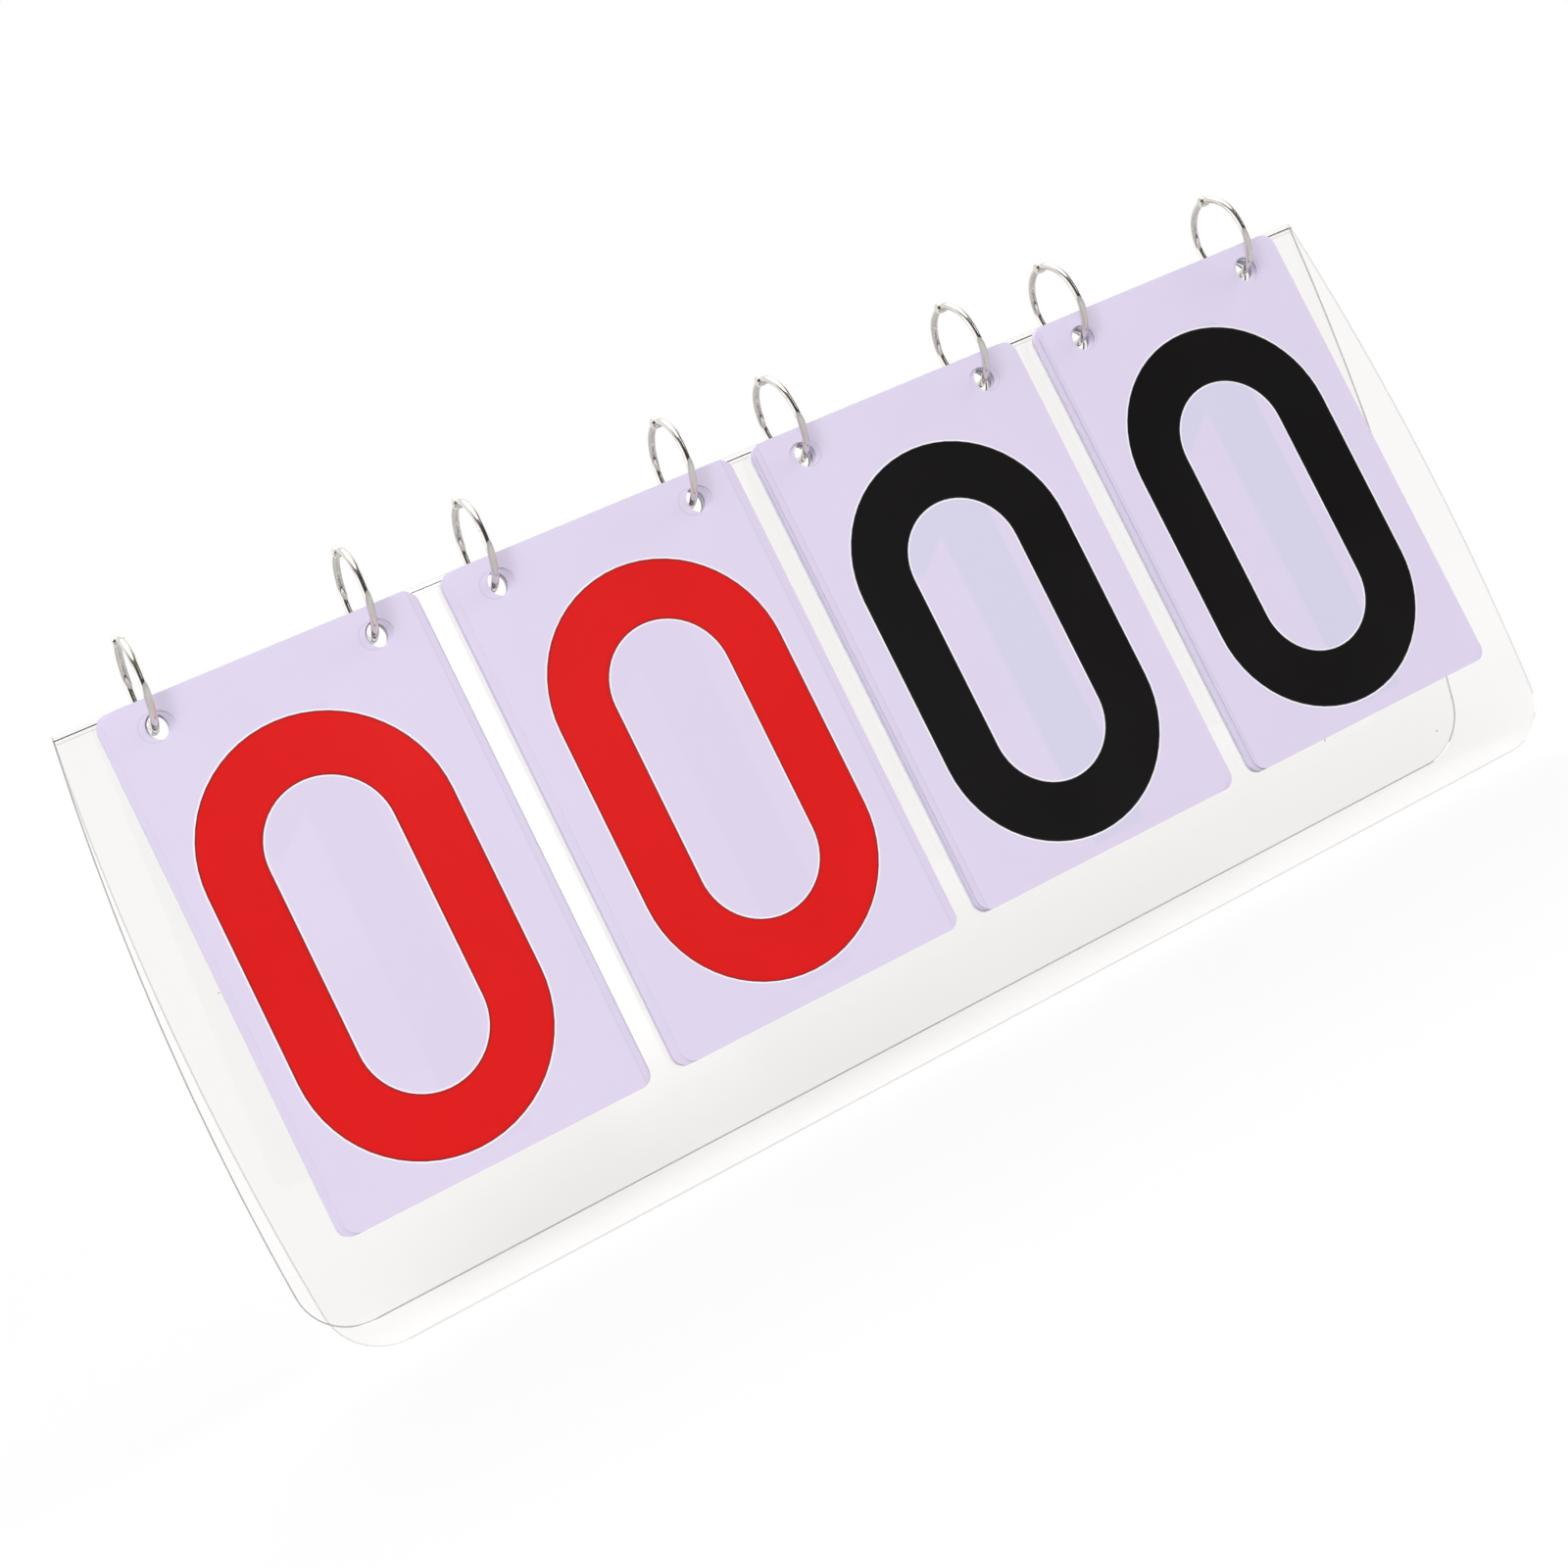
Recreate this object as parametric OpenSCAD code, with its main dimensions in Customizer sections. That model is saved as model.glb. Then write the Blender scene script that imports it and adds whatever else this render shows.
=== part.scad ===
// Tabletop flip scoreboard: a clear sheet folded into a narrow tent, with four stacks of
// number cards that hang on book rings and flip over the crease.
// X runs along the board, the front faces -Y, Z is up, and the tent stands on z = 0.

/* [Sheet] */
// Greatest length of the board, at mid height
sheet_w = 394; // [385:1:400]
// Height of a panel, measured down the slope from the crease
sheet_h = 167; // [150:1:185]
// Thickness of the clear sheet
sheet_t = 0.7; // [0.5:0.05:0.8]
// How far each side edge bows out between the crease and the foot
side_bow = 4.5; // [1:0.5:6]
// Radius of the two lower corners of a panel
corner_r = 16; // [8:1:24]
// Angle between the two panels as the board stands
open_angle = 14; // [12:1:18]

/* [Fold] */
// How much thicker than the sheet the rounded fold is
fold_extra = 0.05; // [0.02:0.01:0.15]
// Running gap between the fold and the top of the back panel
fold_gap = 0.05; // [0.02:0.01:0.1]
// Half the gap between the two panels' inner faces at the fold
inner_gap = 0.02; // [0.01:0.01:0.05]

/* [Stacks] */
// Distance between the middles of neighbouring stacks
stack_pitch = 93; // [91:1:96]
// Number of cards in a stack, one for each digit
cards_n = 10; // [10:1:10]
// Distance from a panel to the first card
stack_clear = 0.1; // [0.06:0.02:0.2]

/* [Cards] */
// Width of a card
card_w = 84; // [78:1:86]
// Height of a card
card_h = 139; // [120:1:145]
// Thickness of a card
card_t = 0.3; // [0.2:0.02:0.3]
// Air between two cards of a stack
card_gap = 0.04; // [0.03:0.01:0.05]
// Radius of a card's corners
card_r = 3.6; // [2:0.2:6]
// How far the cards of a stack are out of line at most, to each side
card_stray = 1.2; // [0:0.1:1.2]

/* [Holes] */
// Distance between the two holes of a stack
hole_gap = 59; // [54:1:62]
// Distance of the holes below the crease and below a card's top edge
hole_drop = 7.6; // [7.2:0.2:8]
// Diameter of the holes in the sheet and in the cards
hole_d = 7.4; // [7.3:0.1:8]

/* [Rings] */
// Diameter of the ring wire
wire_d = 2; // [1.6:0.1:2]
// How far the middle of a ring stands above the crease
ring_rise = 4.2; // [4.1:0.1:4.5]
// Lean of a ring at rest, towards the end of the board that it falls to
ring_lean = 3; // [0:1:3]
// Diameter of the flat eye at a half ring's end
eye_d = 3; // [2.6:0.1:3.2]
// How far an eye stands out from the wire's side
eye_proud = 0.08; // [0.04:0.02:0.1]
// Gap between the two eyes of a ring, on each side of the middle
eye_gap = 0.03; // [0.02:0.01:0.05]
// Diameter of the rivet
rivet_d = 1; // [0.8:0.1:1.2]
// Diameter of the rivet's heads
rivet_head_d = 2; // [1.6:0.1:2.2]
// Thickness of the rivet's heads
rivet_head_t = 0.35; // [0.2:0.05:0.4]
// Gap between the rivet and the eyes
rivet_gap = 0.03; // [0.02:0.01:0.05]
// Diameter of the pin that snaps the ring shut
snap_d = 0.9; // [0.7:0.1:1]
// Length of that pin
snap_len = 1; // [0.6:0.1:1.4]
// Gap around the pin in its socket
snap_gap = 0.1; // [0.08:0.01:0.15]
// Gap between the two half rings where they meet
joint_gap = 0.06; // [0.04:0.01:0.1]

/* [Hidden] */
$fn = 96;
STACKS = ["red_tens", "red_ones", "black_tens", "black_ones"];
SIDES = ["left", "right"];
HALVES = ["front", "back"];
CARD_NODES = [for (s = STACKS) for (k = [0:cards_n - 1]) str(s, "_card_", k)];
RING_NODES = [for (s = STACKS) for (d = SIDES) for (h = HALVES) str(s, "_ring_", d, "_", h)];

// Where each stack's front card hangs, as a share of card_stray to the right.
FRONT_STRAY = [0.5, 1, -0.4, 0.2];
// The same for the nine cards behind it, in an order that starts elsewhere in each stack.
REST_STRAY = [-1, -0.6, -0.85, 1, -0.95, -0.4, -0.75, 0.8, -0.9];
REST_START = [0, 4, 3, 7];

// The crease is the axis that both panels turn on. Their inner faces meet there.
slope = open_angle / 2;
foot_extra = sheet_t * tan(slope) + 0.2;
crease_z = sheet_h * cos(slope);
crease_w = sheet_w - 2 * side_bow;
fold_r = sheet_t + fold_extra;
card_pitch = card_t + card_gap;

// Each side edge is an arc through the crease's end and the foot's end.
side_r = (pow(sheet_h / 2, 2) + pow(side_bow, 2)) / (2 * side_bow);
side_x = side_r - sheet_w / 2;
// The corner arc touches the side arc from inside.
corner_y = corner_r - sheet_h;
corner_x = sqrt(pow(side_r - corner_r, 2) - pow(corner_y + sheet_h / 2, 2)) - side_x;
corner_a = atan2(corner_y + sheet_h / 2, corner_x + side_x);

// The ring's middle line passes through the holes, the cards' pivot line through its middle.
hole_t = ring_rise * cos(slope) + hole_drop;
stack_mid = sheet_t + stack_clear + cards_n * card_pitch / 2 - ring_rise * sin(slope);
ring_r = sqrt(pow(hole_t, 2) + pow(stack_mid, 2));
wire_r = wire_d / 2;
joint_a = atan(joint_gap / ring_r);
eye_out = wire_r + eye_proud;
eye_clear = eye_d / 2 + 0.05;

function stack_x(s) = (s - 1.5) * stack_pitch;
// The black rings fall to the left, the red ones to the right.
function lean_side(s) = s < 2 ? 1 : -1;
// How far card k of stack s hangs off the middle of its stack.
function rest_stray(i) = REST_STRAY[i % len(REST_STRAY)];
function stray(s, k) = card_stray * (k == 0 ? FRONT_STRAY[s] : rest_stray(k - 1 + REST_START[s]));

// Places a shape drawn on a panel: x along the crease, y up the slope, z out of the front face.
module on_front() {
    translate([0, 0, crease_z])
        rotate([90 - slope, 0, 0])
            children();
}

// The same on the back panel.
module on_back() {
    mirror([0, 1, 0])
        on_front()
            children();
}

// Outline of one panel below the crease, with bowed sides and round lower corners.
module panel_outline() {
    difference() {
        intersection() {
            translate([-sheet_w, -sheet_h - foot_extra])
                square([2 * sheet_w, sheet_h + foot_extra]);
            translate([-side_x, -sheet_h / 2])
                circle(r = side_r, $fn = 720);
            translate([side_x, -sheet_h / 2])
                circle(r = side_r, $fn = 720);
        }
        for (m = [0, 1])
            mirror([m, 0])
                translate([corner_x, corner_y])
                    corner_waste();
    }
}

// What the round corner leaves out, seen from the middle of its arc.
module corner_waste() {
    reach = 4 * corner_r;
    difference() {
        polygon([
            [0, 0],
            [reach * cos(corner_a), reach * sin(corner_a)],
            [reach, -reach],
            [0, -reach]
        ]);
        circle(r = corner_r);
    }
}

// One flat panel with its eight holes.
module panel() {
    difference() {
        translate([0, 0, inner_gap])
            linear_extrude(sheet_t - inner_gap)
                panel_outline();
        for (s = [0:3])
            for (m = [-1, 1])
                translate([stack_x(s) + m * hole_gap / 2, -hole_drop, -1])
                    cylinder(d = hole_d, h = sheet_t + 2);
    }
}

// Everything under the table top, which trims the feet flat.
module below_floor() {
    translate([-sheet_w, -sheet_h, -20])
        cube([2 * sheet_w, 2 * sheet_h, 20]);
}

// The rounded fold along the crease, or the room that it needs.
module fold(r, w) {
    translate([-w / 2, 0, crease_z])
        rotate([0, 90, 0])
            cylinder(r = r, h = w);
}

module front_panel() {
    color([0.92, 0.93, 0.94, 0.35])
        union() {
            difference() {
                on_front() panel();
                below_floor();
            }
            fold(fold_r, crease_w);
        }
}

module back_panel() {
    color([0.92, 0.93, 0.94, 0.35])
        difference() {
            on_back() panel();
            below_floor();
            fold(fold_r + fold_gap, sheet_w);
        }
}

// A rectangle with round corners, its top edge on y = 0.
module card_outline() {
    difference() {
        translate([-card_w / 2, -card_h])
            square([card_w, card_h]);
        for (mx = [0, 1])
            for (my = [0, 1])
                translate([0, -card_h / 2])
                    mirror([mx, 0])
                        mirror([0, my])
                            translate([card_w / 2 - card_r, card_h / 2 - card_r])
                                difference() {
                                    square(2 * card_r);
                                    circle(r = card_r);
                                }
    }
}

// Card k of stack s. Card 0 hangs in front, card 9 lies against the panel.
module card(s, k) {
    depth = sheet_t + stack_clear + (cards_n - 1 - k) * card_pitch;
    color([0.9, 0.87, 0.95])
        on_front()
            translate([stack_x(s) + stray(s, k), 0, depth])
                difference() {
                    linear_extrude(card_t)
                        card_outline();
                    for (m = [-1, 1])
                        translate([m * hole_gap / 2, -hole_drop, -1])
                            cylinder(d = hole_d, h = card_t + 2);
                }
}

// Places a ring drawn flat: its hinge on +x goes to the top, its half on +y to the back.
module on_ring(s, d) {
    x = stack_x(s) + (d == 0 ? -1 : 1) * hole_gap / 2;
    translate([x, 0, crease_z + ring_rise])
        rotate([0, ring_lean * lean_side(s), 0])
            rotate([0, -90, 0])
                children();
}

// Half of the ring wire, from the hinge at angle 0 round to the snap.
module half_wire() {
    rotate_extrude(angle = 180 - joint_a)
        translate([ring_r, 0])
            circle(d = wire_d, $fn = 32);
}

// The flat eye that a half ring ends in, on one side of the middle.
module eye() {
    translate([ring_r, 0, -eye_out])
        cylinder(d = eye_d, h = eye_out - eye_gap);
}

// Room for the other half's eye.
module eye_room() {
    translate([ring_r, 0, -eye_gap])
        cylinder(r = eye_clear, h = wire_d);
}

module rivet_bore() {
    translate([ring_r, 0, -wire_d])
        cylinder(d = rivet_d + 2 * rivet_gap, h = 2 * wire_d);
}

module rivet() {
    half = eye_out + rivet_gap;
    translate([ring_r, 0, -half - rivet_head_t])
        cylinder(d = rivet_head_d, h = rivet_head_t);
    translate([ring_r, 0, -half - rivet_head_t])
        cylinder(d = rivet_d, h = 2 * (half + rivet_head_t));
    translate([ring_r, 0, half])
        cylinder(d = rivet_head_d, h = rivet_head_t);
}

// The snap pin, or with a gap its socket, at the foot of the ring, between the panels.
module snap(gap) {
    translate([-ring_r, gap > 0 ? -snap_len - 2 * gap : -snap_len, 0])
        rotate([-90, 0, 0])
            cylinder(d = snap_d + 2 * gap, h = snap_len + wire_d);
}

// Half of a ring, with its hinge eye below the middle plane.
module half_ring() {
    difference() {
        union() {
            half_wire();
            eye();
        }
        eye_room();
        rivet_bore();
    }
}

// The half that goes through the cards and the front panel, with the rivet and the socket.
module ring_front(s, d) {
    color("silver")
        on_ring(s, d) {
            difference() {
                mirror([0, 1, 0]) half_ring();
                snap(snap_gap);
            }
            rivet();
        }
}

// The half that goes through the back panel and swings open, with the pin.
module ring_back(s, d) {
    color("silver")
        on_ring(s, d)
            union() {
                mirror([0, 0, 1]) half_ring();
                snap(0);
            }
}

front_panel();
back_panel();
for (s = [0:3])
    for (k = [0:cards_n - 1])
        card(s, k);
for (s = [0:3])
    for (d = [0, 1]) {
        ring_front(s, d);
        ring_back(s, d);
    }
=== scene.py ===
# %% [markdown]
# # A tabletop flip scoreboard in Blender
# The real object is a clear plastic sheet, folded into a narrow tent. Forty thin number
# cards hang on its front in four stacks, and each stack turns over the top on two nickel
# book rings. The shapes of the sheet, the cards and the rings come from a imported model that
# is loaded as a fixed frame. This lesson adds the camera, the light, the printed digits and
# the finishes. All lengths are in metres, X runs along the board and the front faces -Y.

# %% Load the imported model
import math

import bmesh
import bpy
from mathutils import Matrix, Quaternion, Vector


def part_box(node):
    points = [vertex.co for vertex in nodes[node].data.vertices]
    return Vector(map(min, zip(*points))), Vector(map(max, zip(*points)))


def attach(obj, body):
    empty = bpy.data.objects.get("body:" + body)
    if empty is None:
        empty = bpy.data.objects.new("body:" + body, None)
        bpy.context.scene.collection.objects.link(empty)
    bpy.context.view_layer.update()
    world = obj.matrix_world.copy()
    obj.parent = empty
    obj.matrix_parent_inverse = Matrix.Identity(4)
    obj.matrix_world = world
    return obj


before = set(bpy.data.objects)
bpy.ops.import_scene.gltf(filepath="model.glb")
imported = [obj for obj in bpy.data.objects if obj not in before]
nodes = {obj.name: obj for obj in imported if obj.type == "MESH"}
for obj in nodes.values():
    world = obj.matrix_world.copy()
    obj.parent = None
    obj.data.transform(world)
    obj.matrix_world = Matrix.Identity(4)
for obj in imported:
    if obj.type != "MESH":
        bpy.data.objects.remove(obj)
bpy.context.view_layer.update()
print(len(nodes), "nodes")

# %% [markdown]
# ## Camera
# The photograph was taken from the left of the front, almost level with the board, and
# turned so that the right end of the board rises. A camera could be placed by eye, but a fit
# to the corners of the cards gives its place, its aim and its lens. It is aimed with a track
# quaternion first, and then rolled about its own axis, as one would tilt a real camera.

# %% Place the camera
CAMERA_AT = Vector((-0.2624, -0.6236, 0.1246))
CAMERA_AIM = Vector((0.3553, 0.9324, -0.0659))
CAMERA_ROLL = math.radians(-23.907)
CAMERA_LENS = 57.562
SENSOR_WIDTH = 36

camera_data = bpy.data.cameras.new("camera")
camera_data.sensor_width = SENSOR_WIDTH
camera_data.lens = CAMERA_LENS
camera_data.clip_start = 0.01
camera = bpy.data.objects.new("camera", camera_data)
bpy.context.scene.collection.objects.link(camera)
camera.location = CAMERA_AT
aim = CAMERA_AIM.to_track_quat("-Z", "Y")
camera.rotation_mode = "QUATERNION"
camera.rotation_quaternion = aim @ Quaternion((0, 0, 1), CAMERA_ROLL)
bpy.context.scene.camera = camera
bpy.context.view_layer.update()
print("camera right axis", [round(v, 3) for v in camera.matrix_world.to_3x3().col[0]])

# %% [markdown]
# ## Helpers for shader nodes
# Everything that follows is built from shader nodes: the world, the floor and each finish.
# They could be placed one by one in the editor. In a script, three short helpers keep the
# work readable: one adds a node with its settings, one makes a smooth step of a value, and
# one does a single calculation. They work in whichever tree's nodes and links they are given.

# %% Three node helpers
def add(tree_nodes, kind, **settings):
    """A new shader node with its settings. Number keys set its inputs by place, as i0 or i1."""
    node = tree_nodes.new(kind)
    for key, value in settings.items():
        if key[0] == "i" and key[1:].isdigit():
            node.inputs[int(key[1:])].default_value = value
        else:
            setattr(node, key, value)
    return node


def ramp(tree_nodes, tree_links, value, low, high, at_low, at_high):
    """A smooth step of a value, from at_low at low to at_high at high."""
    step = add(tree_nodes, "ShaderNodeMapRange", i1=low, i2=high, i3=at_low, i4=at_high)
    step.interpolation_type = "SMOOTHSTEP"
    tree_links.new(value, step.inputs[0])
    return step.outputs[0]


def calc(tree_nodes, tree_links, operation, a, b=None):
    """A math node on two sockets or numbers."""
    math_node = add(tree_nodes, "ShaderNodeMath", operation=operation)
    for value, socket in ((a, math_node.inputs[0]), (b, math_node.inputs[1])):
        if isinstance(value, (int, float)):
            socket.default_value = value
        elif value is not None:
            tree_links.new(value, socket)
    return math_node.outputs[0]


# %% [markdown]
# ## World
# The board was photographed in front of pure white. More light would bleach the pale cards,
# so the white is made in the world's own nodes: rays from the camera, and rays that pass
# through the clear sheet, meet white, while the light on the object stays plain. Nickel has
# no colour of its own and shows only what surrounds it, so mirror rays meet a simple studio:
# bright above and at the sides, dark in front where the room behind the camera lies, with
# one upright strip of light that draws the streak on the sheet between the two red stacks.

# %% Build the room that mirrors see
ROOM_DARK = 0.06
ROOM_GREY = 0.20
SIDE_BOX_POWER = 1.1
TOP_BOX_POWER = 1.3
# the strip's compass bearing right of the front, where it is full and where it ends, in degrees
STRIP_BEARING = 15.7
STRIP_FULL = 0.9
STRIP_END = 2.4
STRIP_POWER = 4.0

world = bpy.data.worlds.new("studio")
bpy.context.scene.world = world
world.use_nodes = True
# wn and wl are the world's nodes and links
wn, wl = world.node_tree.nodes, world.node_tree.links
wn.clear()
direction = add(wn, "ShaderNodeTexCoord")
split = add(wn, "ShaderNodeSeparateXYZ")
wl.new(direction.outputs["Generated"], split.inputs[0])
east, north, up = split.outputs
# each axis runs from -1 to 1: the room is dark in front, grey round the board, white behind it
room = ramp(wn, wl, north, -0.80, -0.60, ROOM_DARK, ROOM_GREY)
room = calc(wn, wl, "ADD", room, ramp(wn, wl, north, 0.05, 0.35, 0.0, 1 - ROOM_GREY))
side_box = ramp(wn, wl, calc(wn, wl, "ABSOLUTE", east), 0.84, 0.90, 0.0, SIDE_BOX_POWER)
top_box = ramp(wn, wl, up, 0.74, 0.82, 0.0, TOP_BOX_POWER)
bearing = calc(wn, wl, "ARCTAN2", east, calc(wn, wl, "MULTIPLY", north, -1.0))
off_strip = calc(wn, wl, "SUBTRACT", bearing, math.radians(STRIP_BEARING))
off_strip = calc(wn, wl, "ABSOLUTE", off_strip)
strip = ramp(wn, wl, off_strip, math.radians(STRIP_FULL), math.radians(STRIP_END), STRIP_POWER, 0.0)
# the strip starts a little above eye level
strip = calc(wn, wl, "MULTIPLY", strip, ramp(wn, wl, up, 0.04, 0.16, 0.0, 1.0))
studio = room
for lamp_box in (side_box, top_box, strip):
    studio = calc(wn, wl, "ADD", studio, lamp_box)
print("mirror room built from", len(wn), "nodes")

# %% [markdown]
# A Light Path node tells the kinds of rays apart, and two mix shaders pick a background for
# each: the mirror room, plain daylight, or white.

# %% Give each kind of ray its background
DAYLIGHT = 0.80

ray = add(wn, "ShaderNodeLightPath").outputs
sees_white = calc(wn, wl, "MAXIMUM", ray["Is Camera Ray"], ray["Is Transmission Ray"])
daylight = add(wn, "ShaderNodeBackground", i0=(1, 1, 1, 1), i1=DAYLIGHT)
mirror_room = add(wn, "ShaderNodeBackground", i0=(1, 1, 1, 1))
wl.new(studio, mirror_room.inputs["Strength"])
white = add(wn, "ShaderNodeBackground", i0=(1, 1, 1, 1), i1=1.0)
pick_mirror = add(wn, "ShaderNodeMixShader")
wl.new(ray["Is Glossy Ray"], pick_mirror.inputs[0])
wl.new(daylight.outputs[0], pick_mirror.inputs[1])
wl.new(mirror_room.outputs[0], pick_mirror.inputs[2])
pick_white = add(wn, "ShaderNodeMixShader")
wl.new(sees_white, pick_white.inputs[0])
wl.new(pick_mirror.outputs[0], pick_white.inputs[1])
wl.new(white.outputs[0], pick_white.inputs[2])
world_out = add(wn, "ShaderNodeOutputWorld")
wl.new(pick_white.outputs[0], world_out.inputs["Surface"])
print("daylight", DAYLIGHT, "and white for the eye")

# %% [markdown]
# ## Lamps
# One large soft lamp from the upper left gives the cards their gentle fall of light from top
# to bottom, and a weaker one from the right keeps the shadows of the rings soft. A third one
# stands behind the board, for whoever walks round it: the backs of the cards get their light
# only through two layers of the sheet. None of them shows in a mirror, because the world has
# its own bright shapes for that.

# %% Hang three soft lamps
LIT_POINT = Vector((0, 0, 0.08))


def soft_lamp(name, at, size, watts):
    """A round area lamp that points at the middle of the board."""
    data = bpy.data.lights.new(name, "AREA")
    data.shape = "DISK"
    data.size = size
    data.energy = watts
    lamp = bpy.data.objects.new(name, data)
    bpy.context.scene.collection.objects.link(lamp)
    lamp.location = at
    lamp.rotation_euler = (LIT_POINT - Vector(at)).to_track_quat("-Z", "Y").to_euler()
    lamp.visible_glossy = False
    print(name, "of", watts, "W at", at)


soft_lamp("key_lamp", (-0.9, -1.5, 1.3), size=1.1, watts=23)
soft_lamp("fill_lamp", (1.7, -0.35, 1.0), size=1.0, watts=9)
soft_lamp("back_lamp", (0.5, 1.5, 1.1), size=1.2, watts=10)

# %% [markdown]
# ## Floor
# The board stands on a plain white table top, here a flat disc. It gives back about a quarter
# of the light that falls on it and adds a white glow for the eye, for mirrors and for the
# clear sheet, so it melts into the white background and yet keeps a soft shadow where the
# board stands. It is part of the stage and not of the object.

# %% Lay the floor
FLOOR_RADIUS = 3.0

floor_bm = bmesh.new()
bmesh.ops.create_circle(floor_bm, cap_ends=True, segments=96, radius=FLOOR_RADIUS)
floor_mesh = bpy.data.meshes.new("floor")
floor_bm.to_mesh(floor_mesh)
floor_bm.free()
floor = bpy.data.objects.new("floor", floor_mesh)
bpy.context.scene.collection.objects.link(floor)
print("floor of", 2 * FLOOR_RADIUS, "m across")

# %% [markdown]
# Near the board the floor is a dull white with a glow. Away from it, between two distances,
# it turns into the same plain white as what lies behind it, so that no horizon shows.

# %% Paint the floor
FLOOR_SHARE = 0.27
FLOOR_GLOW = 0.655
FLOOR_IN_MIRRORS = 0.6
FADE_FROM = 0.35
FADE_TO = 0.9

floor_mat = bpy.data.materials.new("white_table_top")
floor_mat.use_nodes = True
# fn and fl are the floor material's nodes and links
fn, fl = floor_mat.node_tree.nodes, floor_mat.node_tree.links
fn.clear()
lit = add(fn, "ShaderNodeBsdfDiffuse", i0=(FLOOR_SHARE, FLOOR_SHARE, FLOOR_SHARE, 1))
glow = add(fn, "ShaderNodeEmission", i0=(1, 1, 1, 1))
ray = add(fn, "ShaderNodeLightPath").outputs
seen = calc(fn, fl, "MAXIMUM", ray["Is Camera Ray"], ray["Is Transmission Ray"])
in_mirrors = calc(fn, fl, "MULTIPLY", ray["Is Glossy Ray"], FLOOR_IN_MIRRORS)
seen = calc(fn, fl, "MAXIMUM", seen, in_mirrors)
fl.new(calc(fn, fl, "MULTIPLY", seen, FLOOR_GLOW), glow.inputs["Strength"])
near_floor = add(fn, "ShaderNodeAddShader")
fl.new(lit.outputs[0], near_floor.inputs[0])
fl.new(glow.outputs[0], near_floor.inputs[1])
far_floor = add(fn, "ShaderNodeEmission", i0=(1, 1, 1, 1))
fl.new(seen, far_floor.inputs["Strength"])
place = add(fn, "ShaderNodeTexCoord")
from_board = add(fn, "ShaderNodeVectorMath", operation="LENGTH")
fl.new(place.outputs["Object"], from_board.inputs[0])
fade = add(fn, "ShaderNodeMixShader")
fl.new(ramp(fn, fl, from_board.outputs["Value"], FADE_FROM, FADE_TO, 0.0, 1.0), fade.inputs[0])
fl.new(near_floor.outputs[0], fade.inputs[1])
fl.new(far_floor.outputs[0], fade.inputs[2])
floor_out = add(fn, "ShaderNodeOutputMaterial")
fl.new(fade.outputs[0], floor_out.inputs["Surface"])
floor_mesh.materials.append(floor_mat)
print("the floor turns white from", FADE_FROM, "to", FADE_TO, "m out")

# %% [markdown]
# ## Shared surface effects
# No real surface is perfectly even. Two effects are used by several finishes, so each is
# built once as a node group: a few dark specks of dust, and a soft cloudy unevenness. A group
# puts out only a mask or a value, and each material decides what to do with it. Both read
# Object coordinates, so the pattern stays on its piece when the piece moves. A speck is the
# middle of a Voronoi cell, and only a chosen share of the cells has one.

# %% Dust group
def new_group(name, inputs, output):
    """A new shader group of plain numbers, the sockets it is given and its output node."""
    group = bpy.data.node_groups.new(name, "ShaderNodeTree")
    number = "NodeSocketFloat"
    for label, value in inputs.items():
        socket = group.interface.new_socket(name=label, in_out="INPUT", socket_type=number)
        socket.default_value = value
    group.interface.new_socket(name=output, in_out="OUTPUT", socket_type=number)
    return group, group.nodes.new("NodeGroupInput").outputs, group.nodes.new("NodeGroupOutput")


dust_inputs = {"Specks per metre": 60.0, "Speck size": 0.03, "Share": 0.2}
dust_group, given, g_out = new_group("dust specks", dust_inputs, "Mask")
# gn and gl are the nodes and links of the group that is being built
gn, gl = dust_group.nodes, dust_group.links
where = add(gn, "ShaderNodeTexCoord")
cells = add(gn, "ShaderNodeTexVoronoi", feature="F1")
gl.new(where.outputs["Object"], cells.inputs["Vector"])
gl.new(given["Specks per metre"], cells.inputs["Scale"])
near = calc(gn, gl, "LESS_THAN", cells.outputs["Distance"], given["Speck size"])
cell_split = add(gn, "ShaderNodeSeparateColor")
gl.new(cells.outputs["Color"], cell_split.inputs[0])
chosen = calc(gn, gl, "LESS_THAN", cell_split.outputs[0], given["Share"])
gl.new(calc(gn, gl, "MULTIPLY", near, chosen), g_out.inputs["Mask"])
print("group", dust_group.name, "takes", list(dust_inputs))

# %% [markdown]
# The unevenness is smooth noise, stretched between a low and a high value of each material's
# own. Fed to a roughness it gives a gloss that comes and goes, and fed to a bump it gives grain.

# %% Unevenness group
cloud_inputs = {"Clouds per metre": 40.0, "Detail": 3.0, "Low": 0.0, "High": 1.0}
cloud_group, given, g_out = new_group("soft unevenness", cloud_inputs, "Value")
gn, gl = cloud_group.nodes, cloud_group.links
where = add(gn, "ShaderNodeTexCoord")
clouds = add(gn, "ShaderNodeTexNoise")
gl.new(where.outputs["Object"], clouds.inputs["Vector"])
gl.new(given["Clouds per metre"], clouds.inputs["Scale"])
gl.new(given["Detail"], clouds.inputs["Detail"])
# the noise seldom leaves the middle of its range, so only that is stretched
spread = add(gn, "ShaderNodeMapRange", i1=0.3, i2=0.7)
gl.new(clouds.outputs["Fac"], spread.inputs[0])
gl.new(given["Low"], spread.inputs[3])
gl.new(given["High"], spread.inputs[4])
gl.new(spread.outputs[0], g_out.inputs["Value"])


def use_group(tree, group, **values):
    """Places a group in a material. A key such as Low or Speck_size sets the input of that name."""
    node = tree.nodes.new("ShaderNodeGroup")
    node.node_tree = group
    for key, value in values.items():
        node.inputs[key.replace("_", " ")].default_value = value
    return node.outputs[0]


print("group", cloud_group.name, "takes", list(cloud_inputs))

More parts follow.
